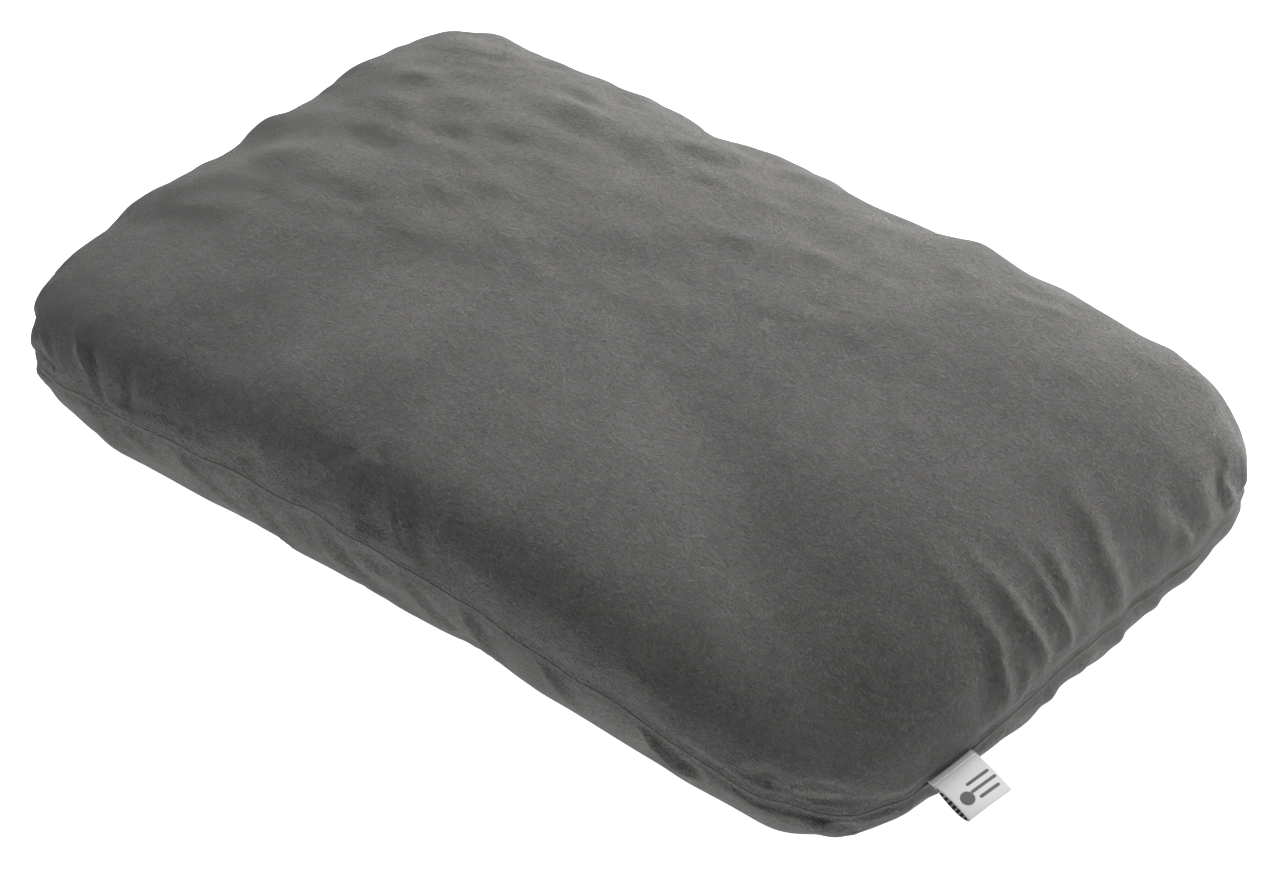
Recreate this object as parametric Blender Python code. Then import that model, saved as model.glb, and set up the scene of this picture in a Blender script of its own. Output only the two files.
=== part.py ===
"""A camp pillow: two panels of brushed cloth, sewn edge to edge round loose foam.

Metres, +Z up. X runs along the pillow and Y across it, with the front at -Y. The origin is the
middle of the flat patch that the pillow rests on. The seam runs round the pillow at about half its
height. Its allowances are turned inward, and a folded ribbon label is caught in it at the right end.
"""

from collections import namedtuple
from math import copysign, cos, pi, radians, sin

import bmesh
import bpy
import numpy as np
from mathutils import Matrix, Vector

# The seam's outline seen from above: a superellipse, drawn in between its corners
HALF_LENGTH = 0.248
HALF_WIDTH = 0.153
CORNER_POWER = 4.6  # 2 would be an ellipse, and more is squarer
END_PULL = {1: 0.034, -1: 0.008}  # how far the middle of the right and left ends is drawn in
SIDE_PULL = {1: -0.0015, -1: 0.0035}  # the same for the back and the front, where less than 0 is out

# Each corner, by the signs of X and Y
CORNER_REACH = {(-1, -1): -0.03, (1, -1): -0.19, (1, 1): -0.07, (-1, 1): 0.08}  # share of its distance
CORNER_DROP = {(-1, -1): 0.008, (1, -1): 0.036, (1, 1): -0.008, (-1, 1): -0.003}
CORNER_TUCK = {(-1, -1): 0.10, (1, -1): 0.35, (1, 1): 0.0, (-1, 1): 0.0}  # how much thinner it is below

# Heights
SEAM_HEIGHT = 0.0555
FRONT_RISE = 0.028  # of the seam, at the middle of the front
TOP_SWELL = 0.0535  # from the seam's shoulder to the crown
BOTTOM_SWELL = 0.056
SHOULDER = 0.0025  # between the seam's plane and where a panel's wall begins

# How full the two halves are: (sideways power, upward power), and the angle that a wall sweeps
FULLNESS = {1: (3.4, 2.1), -1: (4.0, 1.6)}
SWELL_ANGLE = radians(95)

# Cloth, seam and thread
CLOTH = 0.0010
GAP = 0.0003  # between pieces that touch
ALLOWANCE = 0.010
LIP = 0.0020  # how far the folded edge stands out
CLOSING_LIP = 0.0050  # the same where the filling opening is stitched shut
CLOSING_LENGTH = 0.150
THREAD_RADIUS = 0.00015
STITCH_INSET = 0.003  # from the folded edge to the seam's stitch line

# Ribbon label
LABEL_ANGLE = radians(348.5)  # where on the outline its middle is
LABEL_WIDTH = 0.020
LABEL_LENGTH = 0.018
LABEL_OPENING = 0.0026  # between the loop's two layers, at the middle
LABEL_DROOP = radians(12)
RIBBON = 0.00025
TAIL_DEPTH = 0.008  # how far the ribbon's ends reach into the seam

# How finely the surfaces are divided
STATIONS = 72
WALL_STEPS = 8
OUTLINE_SAMPLES = 1440
LOOP_STEPS = 28
THREAD_BEVEL = 1
SHARP_ANGLE = radians(40)

GREY_CLOTH = ((0.135, 0.132, 0.128), 0.90)
DARK_CLOTH = ((0.120, 0.118, 0.115), 0.92)
PALE_FOAM = ((0.72, 0.68, 0.52), 0.95)
GREY_THREAD = ((0.16, 0.16, 0.155), 0.60)
WHITE_RIBBON = ((0.80, 0.80, 0.79), 0.45)

TOP, BOTTOM = 1, -1
Station = namedtuple("Station", "seam outward lip tuck")


def clear_scene():
    for thing in list(bpy.data.objects):
        bpy.data.objects.remove(thing, do_unlink=True)


def signed_power(value, power):
    return copysign(abs(value) ** power, value)


def outline_place(angle):
    """Where this angle is on a unit outline, which corner is nearest, and how much of a corner it is."""
    along = signed_power(cos(angle), 2 / CORNER_POWER)
    across = signed_power(sin(angle), 2 / CORNER_POWER)
    corner = (1 if along > 0 else -1, 1 if across > 0 else -1)
    return along, across, corner, (along * across) ** 2


def seam_point(angle):
    """The point of the seam at this angle round the outline."""
    along, across, corner, cornerness = outline_place(angle)
    reach = 1 + CORNER_REACH[corner] * cornerness
    x = along * (HALF_LENGTH * reach - END_PULL[corner[0]] * (1 - across**2))
    y = across * (HALF_WIDTH * reach - SIDE_PULL[corner[1]] * (1 - along**2))
    front = max(-across, 0) ** 2 * (1 - along**2)
    z = SEAM_HEIGHT - CORNER_DROP[corner] * cornerness + FRONT_RISE * front
    return Vector((x, y, z))


def seam_direction(angle):
    """The way that the seam runs at this angle, as a unit vector."""
    step = pi / OUTLINE_SAMPLES
    return (seam_point(angle + step) - seam_point(angle - step)).normalized()


def outward_from(direction):
    """The level direction out of the pillow, square to the seam's direction."""
    return Vector((direction.y, -direction.x, 0)).normalized()


def even_angles(count):
    """Angles that part the outline into equal lengths."""
    angles = np.linspace(0, 2 * pi, OUTLINE_SAMPLES + 1)
    points = np.array([seam_point(a) for a in angles])
    lengths = np.linalg.norm(np.diff(points, axis=0), axis=1)
    run = np.concatenate([[0], np.cumsum(lengths)])
    return np.interp(np.arange(count) * run[-1] / count, run, angles)


def is_closing(seam):
    return seam.y > 0 and abs(seam.x) < CLOSING_LENGTH / 2


def make_stations():
    """Evenly spaced places round the seam, with the folded edge's width and the tuck at each."""
    stations = []
    for angle in even_angles(STATIONS):
        seam = seam_point(angle)
        outward = outward_from(seam_direction(angle))
        lip = CLOSING_LIP if is_closing(seam) else LIP
        _, _, corner, cornerness = outline_place(angle)
        stations.append(Station(seam, outward, lip, CORNER_TUCK[corner] * cornerness))
    return stations


def wall_point(station, turn, side, inset):
    """A point of a panel's wall, or of a surface inset behind it: turn 0 is the pole, 1 the shoulder."""
    sideways, upward = FULLNESS[side]
    angle = turn * SWELL_ANGLE
    spread = (sin(angle) / sin(SWELL_ANGLE)) ** (2 / sideways)
    lowest = signed_power(cos(SWELL_ANGLE), 2 / upward)
    height = (signed_power(cos(angle), 2 / upward) - lowest) / (1 - lowest)
    within = min(spread, 1)
    swell = TOP_SWELL if side == TOP else BOTTOM_SWELL * (1 - station.tuck * within**4)

    beyond = (spread - within) * HALF_WIDTH
    flat = Vector((station.seam.x, station.seam.y, 0)) * within
    flat += station.outward * (beyond - inset * sin(angle))
    plane = SEAM_HEIGHT + (station.seam.z - SEAM_HEIGHT) * within**2
    z = plane + side * (SHOULDER + swell * height - inset * cos(angle))
    if side == BOTTOM:
        z = max(z, inset)  # the pillow lies flat on what it rests on
    return Vector((flat.x, flat.y, z))


def edge_point(station, out, up, side):
    """A point beside the seam, this far out of the pillow and this far from the seam's plane."""
    return station.seam + station.outward * out + Vector((0, 0, side * up))


def wall_rings(stations, side, inset):
    """Rings from next to the pole out to the shoulder."""
    turns = [step / WALL_STEPS for step in range(1, WALL_STEPS + 1)]
    return [[wall_point(s, turn, side, inset) for s in stations] for turn in turns]


def pole(stations, side, inset):
    return wall_point(stations[0], 0, side, inset)


def add_object(name, mesh, look):
    colour, roughness = look
    material = bpy.data.materials.new(name)
    material.use_nodes = True
    shader = material.node_tree.nodes["Principled BSDF"]
    shader.inputs["Base Color"].default_value = (*colour, 1)
    shader.inputs["Roughness"].default_value = roughness
    shader.inputs["Metallic"].default_value = 0
    mesh.materials.append(material)
    piece = bpy.data.objects.new(name, mesh)
    bpy.context.collection.objects.link(piece)
    return piece


def finish_mesh(name, bm):
    bmesh.ops.recalc_face_normals(bm, faces=bm.faces)
    mesh = bpy.data.meshes.new(name)
    bm.to_mesh(mesh)
    bm.free()
    return mesh


def bridge(bm, first, second):
    """Two triangles for each step between two closed rings, all split the same way."""
    for here in range(len(first)):
        after = (here + 1) % len(first)
        bm.faces.new((first[here], first[after], second[after]))
        bm.faces.new((first[here], second[after], second[here]))


def fan(bm, centre, ring):
    for here, corner in enumerate(ring):
        bm.faces.new((centre, corner, ring[(here + 1) % len(ring)]))


def ringed_body(name, first_pole, rings, last_pole, look):
    """A closed body of rings, one inside the next, between two poles."""
    bm = bmesh.new()
    made = [[bm.verts.new(point) for point in ring] for ring in rings]
    for ring, following in zip(made, made[1:]):
        bridge(bm, ring, following)
    fan(bm, bm.verts.new(first_pole), made[0])
    fan(bm, bm.verts.new(last_pole), made[-1])
    piece = add_object(name, finish_mesh(name, bm), look)
    piece.data.shade_smooth()
    piece.data.set_sharp_from_angle(angle=SHARP_ANGLE)
    return piece


def panel(name, stations, side, look):
    """A cloth panel: its wall, the folded edge, the allowance turned inward, and its wrong side."""
    face, back = GAP / 2, GAP / 2 + CLOTH
    rings = wall_rings(stations, side, 0)
    rings.append([edge_point(s, s.lip, face, side) for s in stations])
    rings.append([edge_point(s, -ALLOWANCE, face, side) for s in stations])
    rings.append([edge_point(s, -ALLOWANCE, back, side) for s in stations])
    rings.append([edge_point(s, -CLOTH, back, side) for s in stations])
    rings += reversed(wall_rings(stations, side, CLOTH))
    return ringed_body(name, pole(stations, side, 0), rings, pole(stations, side, CLOTH), look)


def foam_fill(stations):
    """The loose foam as one body, with a groove that the allowances and their thread lie in."""
    inset = CLOTH + GAP
    groove = ALLOWANCE + GAP
    rings = wall_rings(stations, TOP, inset)
    rings.append([edge_point(s, -groove, SHOULDER, TOP) for s in stations])
    rings.append([edge_point(s, -groove, SHOULDER, BOTTOM) for s in stations])
    rings += reversed(wall_rings(stations, BOTTOM, inset))
    poles = pole(stations, TOP, inset), pole(stations, BOTTOM, inset)
    return ringed_body("foam_fill", poles[0], rings, poles[1], PALE_FOAM)


def thread(name, points):
    """A sewing thread laid along these points."""
    curve = bpy.data.curves.new(name, "CURVE")
    curve.dimensions = "3D"
    curve.bevel_depth = THREAD_RADIUS
    curve.bevel_resolution = THREAD_BEVEL
    curve.use_fill_caps = True
    spline = curve.splines.new("POLY")
    spline.points.add(len(points) - 1)
    for place, point in zip(spline.points, points):
        place.co = (*point, 1)
    return add_object(name, curve, GREY_THREAD)


def seam_thread(name, stations, side):
    """One thread of the main seam, on an allowance, from one end of the opening round to the other."""
    first = next(n for n, s in enumerate(stations) if is_closing(s.seam))
    turned = stations[first:] + stations[:first]
    up = GAP / 2 + CLOTH + GAP + THREAD_RADIUS
    sewn = [s for s in turned if not is_closing(s.seam)]
    return thread(name, [edge_point(s, -STITCH_INSET, up, side) for s in sewn])


def closing_thread(name, stations, side):
    """One thread of the stitching that shuts the opening, on the outside of the folded edge."""
    slope = (SHOULDER - GAP / 2) / CLOSING_LIP
    out = CLOSING_LIP / 2
    up = SHOULDER - out * slope + GAP + 2 * THREAD_RADIUS
    shut = [s for s in stations if is_closing(s.seam)]
    return thread(name, [edge_point(s, out, up, side) for s in shut])


def label_frame():
    """A frame on the seam at the label's middle: X along the seam to the front, Y outward, Z up."""
    direction = seam_direction(LABEL_ANGLE)
    along, outward = -direction, outward_from(direction)
    turn = Matrix((along, outward, along.cross(outward))).transposed().to_4x4()
    return Matrix.Translation(seam_point(LABEL_ANGLE)) @ turn


def ribbon_block(name, clearance):
    """A flat block in the seam where the ribbon's two ends lie, larger by a clearance all round."""
    inner, outer = -TAIL_DEPTH - clearance, LIP + GAP + clearance
    thickness = 2 * RIBBON
    bm = bmesh.new()
    bmesh.ops.create_cube(bm, size=1)
    size = (LABEL_WIDTH + 2 * clearance, outer - inner, thickness + 2 * clearance)
    bmesh.ops.scale(bm, vec=size, verts=bm.verts)
    bmesh.ops.translate(bm, vec=(0, (outer + inner) / 2, 0), verts=bm.verts)
    piece = add_object(name, finish_mesh(name, bm), WHITE_RIBBON)
    piece.matrix_world = label_frame()
    return piece


def press_label_into(panels):
    """The allowances give way round the ribbon's ends, by the usual gap."""
    cutter = ribbon_block("label_space", GAP)
    cutter.hide_render = True
    cutter.display_type = "WIRE"
    for piece in panels:
        cut = piece.modifiers.new("label_space", "BOOLEAN")
        cut.operation = "DIFFERENCE"
        cut.solver = "EXACT"
        cut.object = cutter


def loop_point(share, offset):
    """A point of the label's loop, this share of the way round, offset from the ribbon's middle."""
    turn = 2 * pi * share
    reach, half_opening = LABEL_LENGTH / 2, LABEL_OPENING / 2
    across = Vector((reach * sin(turn), half_opening * cos(turn)))
    normal = Vector((-across.y, across.x)).normalized()
    return reach * (1 - cos(turn)) + normal.x * offset, half_opening * sin(turn) + normal.y * offset


def label_loop():
    """The free loop of the folded ribbon, hinged where it leaves the seam."""
    bm = bmesh.new()
    rings = []
    for end in (-LABEL_WIDTH / 2, LABEL_WIDTH / 2):
        for offset in (-RIBBON / 2, RIBBON / 2):
            places = [loop_point(step / LOOP_STEPS, offset) for step in range(LOOP_STEPS)]
            rings.append([bm.verts.new((end, out, up)) for out, up in places])
    left_outer, left_inner, right_outer, right_inner = rings
    bridge(bm, left_outer, right_outer)
    bridge(bm, right_outer, right_inner)
    bridge(bm, right_inner, left_inner)
    bridge(bm, left_inner, left_outer)
    piece = add_object("label_loop", finish_mesh("label_loop", bm), WHITE_RIBBON)

    hinge = bpy.data.objects.new("label_hinge", None)
    bpy.context.collection.objects.link(hinge)
    out_of_seam = LIP + 2 * GAP + RIBBON
    hinge.matrix_world = label_frame() @ Matrix.Translation((0, out_of_seam, 0))
    piece.parent = hinge
    piece.rotation_euler = (-LABEL_DROOP, 0, 0)
    return piece


def main():
    clear_scene()
    stations = make_stations()
    panels = (
        panel("top_panel", stations, TOP, GREY_CLOTH),
        panel("bottom_panel", stations, BOTTOM, DARK_CLOTH),
    )
    foam_fill(stations)
    seam_thread("seam_needle_thread", stations, TOP)
    seam_thread("seam_bobbin_thread", stations, BOTTOM)
    closing_thread("closing_needle_thread", stations, TOP)
    closing_thread("closing_bobbin_thread", stations, BOTTOM)
    ribbon_block("label_tail", 0)
    label_loop()
    press_label_into(panels)


main()
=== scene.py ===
"""The looks of the camp pillow: two covers of brushed cloth over loose foam, and a ribbon label.

Metres, +Z up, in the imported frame: X along the pillow, Y across it with the front at -Y, and the
origin in the middle of the flat patch that the pillow rests on. The covers start from the same
formulas as the CAD panels. Lumps and folds are added, a cloth simulation puckers the cloth beside
the seam, and the edges are rolled into the seam's groove.
"""

from collections import namedtuple
from math import cos, pi, radians, sin, tan

import bpy
import numpy as np
from mathutils import Matrix, Vector


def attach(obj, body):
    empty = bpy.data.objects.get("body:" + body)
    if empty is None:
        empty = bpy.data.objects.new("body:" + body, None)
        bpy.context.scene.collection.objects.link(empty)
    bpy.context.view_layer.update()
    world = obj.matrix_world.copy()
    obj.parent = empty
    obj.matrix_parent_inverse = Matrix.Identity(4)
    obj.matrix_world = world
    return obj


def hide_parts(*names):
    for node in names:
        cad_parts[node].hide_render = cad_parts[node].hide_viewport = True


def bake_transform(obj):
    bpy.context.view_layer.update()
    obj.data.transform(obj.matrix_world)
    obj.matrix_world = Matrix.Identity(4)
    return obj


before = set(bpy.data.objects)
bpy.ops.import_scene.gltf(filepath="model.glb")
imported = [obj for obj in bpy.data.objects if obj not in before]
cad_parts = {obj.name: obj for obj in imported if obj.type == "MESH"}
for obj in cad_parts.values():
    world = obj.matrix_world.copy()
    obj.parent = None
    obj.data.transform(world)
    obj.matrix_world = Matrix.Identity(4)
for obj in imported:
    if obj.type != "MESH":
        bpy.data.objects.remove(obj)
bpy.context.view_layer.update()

# ---- The pillow's form: the same driving dimensions as the CAD part ----
HALF_LENGTH = 0.248
HALF_WIDTH = 0.153
CORNER_POWER = 4.6
END_PULL = {1: 0.034, -1: 0.008}
SIDE_PULL = {1: -0.0015, -1: 0.0035}
CORNER_REACH = {(-1, -1): -0.03, (1, -1): -0.19, (1, 1): -0.07, (-1, 1): 0.08}
CORNER_DROP = {(-1, -1): 0.008, (1, -1): 0.036, (1, 1): -0.008, (-1, 1): -0.003}
CORNER_TUCK = {(-1, -1): 0.10, (1, -1): 0.35, (1, 1): 0.0, (-1, 1): 0.0}
SEAM_HEIGHT = 0.0555
FRONT_RISE = 0.028
TOP_SWELL = 0.0535
BOTTOM_SWELL = 0.056
SHOULDER = 0.0025
FULLNESS = {1: (3.4, 2.1), -1: (4.0, 1.6)}
SWELL_ANGLE = radians(95)

CLOTH = 0.0010
GAP = 0.0003
LIP = 0.0020
CLOSING_LIP = 0.0050
CLOSING_LENGTH = 0.150

LABEL_ANGLE = radians(348.5)
LABEL_WIDTH = 0.020
LABEL_LENGTH = 0.018
LABEL_DROOP = radians(12)
RIBBON = 0.00025

TOP, BOTTOM = 1, -1
MILLIMETRE = 0.001
TINY = 1e-12  # keeps a division from being by 0

# ---- How finely the covers are divided ----
CELLS_ALONG = 250
CELLS_ACROSS = 164
COARSE_STEP = 2  # the simulation and the foam use every second point
TABLE_HEADINGS = 2881
TABLE_STEPS = 97
TABLE_END = 1.1 * pi  # the tables run past the half turn, and so cover every heading
HEADING_STEP = 0.002  # between two near headings, to measure the seam's direction

# ---- The seam: (how far out, how far from the seam's plane) for each ring of a cover's edge ----
TOUCH = 0.00005  # half of what is left between the covers where they meet outside
GROOVE_RINGS = ((0.0003, 0.0010), (0.0004, 0.0004), (0.0002, TOUCH), (-0.0015, GAP / 2),
                (-0.0100, GAP / 2))
CLOSING_RINGS = ((0.0020, 0.0018), (0.0042, 0.0011), (CLOSING_LIP, TOUCH), (0.0030, GAP / 2),
                 (-0.0100, GAP / 2))
WAVE_HEIGHT = 0.0011  # how far the seam wanders up and down, and in and out
WAVE_OUT = 0.0009
WAVE_REACH = 0.012
UP_WAVES = ((23, 1.3, 0.43), (37, 0.4, 0.35), (61, 2.1, 0.22))  # waves round the outline, start, share
OUT_WAVES = ((19, 0.2, 0.43), (43, 1.7, 0.35), (53, 0.0, 0.22))
CLOSING_BLEND = 0.012  # over which the groove turns into the pinched lip of the opening
LABEL_BLEND = 0.004  # over which the edges part to let the ribbon through

# ---- Cloth simulation ----
SIM_FRAMES = 20
SIM_PRESSURE = 4.0
SLACK = 0.09  # extra cloth where the slack weight is 1, as a share of its size
SLACK_WEIGHT = 0.5  # beside the seam
SLACK_START = 0.004  # where the slack weight begins to fade, from the seam
SLACK_END = {TOP: 0.030, BOTTOM: 0.040}  # and where it is gone
REST_HEIGHTS = (0.0005, 0.006)  # the cloth is held where it rests, and free above that
LEAST_WEIGHT = 0.001  # lower weights are left out
MOVE_CAP = 0.004
SWELL_ROUNDS = 8  # of smoothing, after which only the swelling is left, and it is taken away
PUCKER_START = 0.004  # the puckers come up over this distance from the seam
PUCKER_END = {TOP: (0.012, 0.040), BOTTOM: (0.030, 0.070)}  # and fade out between these

# ---- Loose filling ----
LUMP_SEED = 7
LUMP_COUNT = 1400
LUMP_SIZE = (0.004, 0.010)
LUMP_HEIGHT = 0.00062
LUMP_STRETCH = (1.7, 1, 1)  # they are longer along the pillow
LUMPS_ALL_OVER = 0.2  # the share of their height that lumps have everywhere
LUMP_LEAN = 0.45  # how much the edge of the lumpy part slants towards the back at the right
LUMP_EDGE = (-0.06, 0.16)  # from where to where across the pillow the lumps grow to full height

# ---- Relief ----
RELIEF_START = 0.005  # the relief comes up over this distance from the seam
RELIEF_HEIGHTS = (0.001, 0.010)  # and over these heights above the ground
PATH_STEPS = 31
FOLD_RISE = (-0.15, 0.2)  # shares of a fold's length: it is at its full height from the second
FOLD_FALL = (0.4, 1.0)  # to the first of these, and gone at the second
FOLD_HOLLOWS = 0.6  # how deep the hollows beside a fold are

# Random puckers round the back and the left end: headings and lean in degrees, the rest in millimetres
BACK_HEADINGS = (38.0, 232)
BACK_SPACING = (3.5, 9)
BACK_START = 2
BACK_LEAN = (-3, 3)
BACK_LENGTH = (12, 32)
BACK_HEIGHT = (0.4, 1.3)
BACK_WIDTH = (3, 6)

# ---- Foam, closing stitches and label ----
FOAM_INSET = 0.0045  # from the cloth's outside
FOAM_SEAM_INSET = 0.014
FOAM_SEAM_REACH = 0.018
STITCH_LENGTH = 0.0032
STITCH_SPACE = 0.0012
STITCH_RADIUS = 0.00028
STITCH_BURY = 0.0006
STITCH_SHARES = (0, 0.12, 0.3, 0.5, 0.7, 0.88, 1)  # the places of a stitch's points, along it
STITCH_OUT = 0.55 * CLOSING_LIP  # from the seam's line
STITCH_UP = 0.45 * SHOULDER  # from the seam's plane to the cloth there
LABEL_OPENING = 0.0024  # between the loop's two layers, at the middle
LABEL_FLARE = 0.7  # how much more it opens at its front edge than at its back edge, as a share
LABEL_BELLY = 0.45  # the share of the opening that comes from the curve of the two layers
LABEL_SKEW = 0.0011  # how far the lower layer shows past the upper one
LABEL_SKEW_SPAN = (0.45, 0.70)  # the shares of the ribbon's length over which that comes
LABEL_CURL = 0.0006  # how far its folded end curls up and down
LABEL_CURL_WAVE = (3.0, 0.6)  # how fast the curl turns over the ribbon's width, and where it starts
LABEL_COLUMNS = 40
LABEL_STEPS = 72

# ---- Colours ----
DARK_NAP = (0.042, 0.0408, 0.0393)
LIGHT_NAP = (0.164, 0.1600, 0.1545)
NAP_SHEEN = (0.95, 0.94, 0.92)
DARK_THREAD = (0.10, 0.10, 0.098)
LIGHT_THREAD = (0.20, 0.20, 0.195)
LIGHT_FOAM = (0.78, 0.74, 0.58)
DARK_FOAM = (0.58, 0.53, 0.38)
RIBBON_WHITE = (0.66, 0.66, 0.66)
RIBBON_SHADE = (0.60, 0.60, 0.61)
INK = (0.035, 0.035, 0.038)
FLOOR_DARK = (0.90, 0.90, 0.90)
FLOOR_LIGHT = (0.93, 0.93, 0.93)
WHITE = (1, 1, 1, 1)

# ---- Textures: the scale of each, and how high it stands in metres ----
CLOUDS = 16
SWIRLS, SWIRL_BUMP = 170, 0.0012
CRINKLES, CRINKLE_BUMP = 330, 0.0013
FIBRES, FIBRE_BUMP = 800, 0.0010
TWISTS, TWIST_BUMP = 900, 0.0001
CRUMBS, CRUMB_BUMP = 110, 0.003
CELLS, CELL_BUMP = 1100, 0.0004
SLUBS, SLUB_BUMP = 600, 0.0001
SLUB_STRETCH = (1, 6, 1)
WARP_PITCH = 0.00022  # between yarns
WEFT_PITCH = 0.00034
WEFT_SHARE = 0.6  # of the warp's height
YARN_BUMP = 0.00001
FLOOR_GRAIN = 3

# ---- Print; places are (towards the front, out of the seam) in metres ----
DISC_PLACE = (0.0050, 0.0116)
DISC_RADIUS = 0.0027
BARS = ((-0.0033, 0.0075, 0.0046), (-0.0033, 0.0107, 0.0052), (-0.0033, 0.0139, 0.0040))  # + half length
BAR_RADIUS = 0.00062
EDGE_SOFT = 0.00012
DASH_LENGTH = 0.0021
DASH_EDGES = (-0.5, -0.3)  # of the wave that the dashes are cut from
DASH_PLACE = 0.0079  # towards the front, on the label's inner face

# ---- View ----
VIEW_AZIMUTH = radians(40.98)
VIEW_ELEVATION = radians(37.32)
VIEW_TARGET = (0, 0, 0.05)
VIEW_DISTANCE = 1.29
FOCAL_LENGTH = 91.7
VIEW_SHIFT = (0.0046, -0.0116)
FLOOR_REACH = 3
FLOOR_DROP = 0.0004  # keeps the floor off the cloth that rests on it
FLOOR_GLOW = 1.2
SKY_STRENGTH = 0.22


# ---- Outline and walls ----

def signed_power(value, power):
    return np.sign(value) * np.abs(value) ** power


def smooth(value, low, high):
    """0 up to low and 1 from high, with a smooth step between."""
    share = np.clip((value - low) / (high - low), 0, 1)
    return share * share * (3 - 2 * share)


def outline_place(heading):
    """Where a unit superellipse is in this direction, and how much of a corner that is."""
    x, y = np.cos(heading), np.sin(heading)
    reach = (np.abs(x) ** CORNER_POWER + np.abs(y) ** CORNER_POWER) ** (-1 / CORNER_POWER)
    along, across = x * reach, y * reach
    return along, across, (along * across) ** 2


def corner_value(table, along, across):
    """The nearest corner's value in a table by the signs of X and Y."""
    values = np.array([[table[x, y] for y in (-1, 1)] for x in (-1, 1)])
    return values[(along > 0).astype(int), (across > 0).astype(int)]


def seam_at(heading):
    """The seam's points at these headings round the outline."""
    along, across, cornerness = outline_place(heading)
    reach = 1 + corner_value(CORNER_REACH, along, across) * cornerness
    end_pull = np.where(along > 0, END_PULL[1], END_PULL[-1])
    side_pull = np.where(across > 0, SIDE_PULL[1], SIDE_PULL[-1])
    x = along * (HALF_LENGTH * reach - end_pull * (1 - across**2))
    y = across * (HALF_WIDTH * reach - side_pull * (1 - along**2))
    front = np.maximum(-across, 0) ** 2 * (1 - along**2)
    drop = corner_value(CORNER_DROP, along, across) * cornerness
    return np.stack([x, y, SEAM_HEIGHT - drop + FRONT_RISE * front], axis=-1)


def seam_run(heading):
    """How the seam runs on at these headings."""
    return seam_at(heading + HEADING_STEP) - seam_at(heading - HEADING_STEP)


def outward_at(heading):
    """The level direction out of the pillow, square to the seam."""
    run = seam_run(heading)
    outward = np.stack([run[..., 1], -run[..., 0], np.zeros_like(run[..., 0])], axis=-1)
    return outward / np.linalg.norm(outward, axis=-1, keepdims=True)


def seam_wave(heading):
    """How the real seam wanders off its smooth line, except where the label holds it."""
    up = sum(share * np.sin(turns * heading + start) for turns, start, share in UP_WAVES)
    out = sum(share * np.sin(turns * heading + start) for turns, start, share in OUT_WAVES)
    wave = outward_at(heading) * (WAVE_OUT * out)[..., None]
    wave[..., 2] = WAVE_HEIGHT * up
    return wave * (1 - label_share(heading))[..., None]


def wall_at(heading, turn, side):
    """Points of a panel's wall: turn 0 is the pole, 1 the shoulder."""
    sideways, upward = FULLNESS[side]
    sweep = turn * SWELL_ANGLE
    spread = (np.sin(sweep) / sin(SWELL_ANGLE)) ** (2 / sideways)
    lowest = signed_power(cos(SWELL_ANGLE), 2 / upward)
    height = (signed_power(np.cos(sweep), 2 / upward) - lowest) / (1 - lowest)
    within = np.minimum(spread, 1)
    along, across, cornerness = outline_place(heading)
    tuck = corner_value(CORNER_TUCK, along, across) * cornerness
    swell = TOP_SWELL if side == TOP else BOTTOM_SWELL * (1 - tuck * within**4)

    seam = seam_at(heading)
    beyond = (spread - within) * HALF_WIDTH
    place = seam * within[..., None] + outward_at(heading) * beyond[..., None]
    plane = SEAM_HEIGHT + (seam[..., 2] - SEAM_HEIGHT) * within**2
    place[..., 2] = plane + side * (SHOULDER + swell * height)
    if side == BOTTOM:
        place[..., 2] = np.maximum(place[..., 2], 0)
    return place


# ---- A grid of quads on each panel ----

def even_headings(first, last, count):
    """Headings from first to last that part that stretch of the seam into equal lengths."""
    headings = np.linspace(first, last, TABLE_HEADINGS)
    steps = np.linalg.norm(np.diff(seam_at(headings), axis=0), axis=1)
    run = np.concatenate([[0], np.cumsum(steps)])
    return np.interp(np.linspace(0, run[-1], count), run, headings)


def flat_grid():
    """Points spread evenly over the outline's plan: a Coons patch between its four sides."""
    corner = radians(45)
    front = seam_at(even_headings(-3 * corner, -corner, CELLS_ALONG + 1))[:, :2]
    back = seam_at(even_headings(3 * corner, corner, CELLS_ALONG + 1))[:, :2]
    left = seam_at(even_headings(5 * corner, 3 * corner, CELLS_ACROSS + 1))[:, :2]
    right = seam_at(even_headings(-corner, corner, CELLS_ACROSS + 1))[:, :2]
    u = np.linspace(0, 1, CELLS_ALONG + 1)[:, None, None]
    v = np.linspace(0, 1, CELLS_ACROSS + 1)[None, :, None]
    between_sides = (1 - v) * front[:, None] + v * back[:, None]
    between_ends = (1 - u) * left[None] + u * right[None]
    first_corners = (1 - u) * front[0] + u * front[-1]
    last_corners = (1 - u) * back[0] + u * back[-1]
    return between_sides + between_ends - (1 - v) * first_corners - v * last_corners


def surface_grid():
    """For each point of the grid, its heading and its share of the way out."""
    flat = flat_grid()
    table = np.linspace(-TABLE_END, TABLE_END, TABLE_HEADINGS)
    outline = seam_at(table)
    true_headings = np.unwrap(np.arctan2(outline[:, 1], outline[:, 0]))
    true_headings -= true_headings[TABLE_HEADINGS // 2]
    heading = np.interp(np.arctan2(flat[..., 1], flat[..., 0]), true_headings, table)
    reach = np.linalg.norm(seam_at(heading)[..., :2], axis=-1)
    share = np.linalg.norm(flat, axis=-1) / reach
    return heading, np.clip(share, 0, 1)


def grid_numbers(shape):
    """The numbers of a grid's points."""
    return np.arange(shape[0] * shape[1]).reshape(shape[:2])


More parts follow.
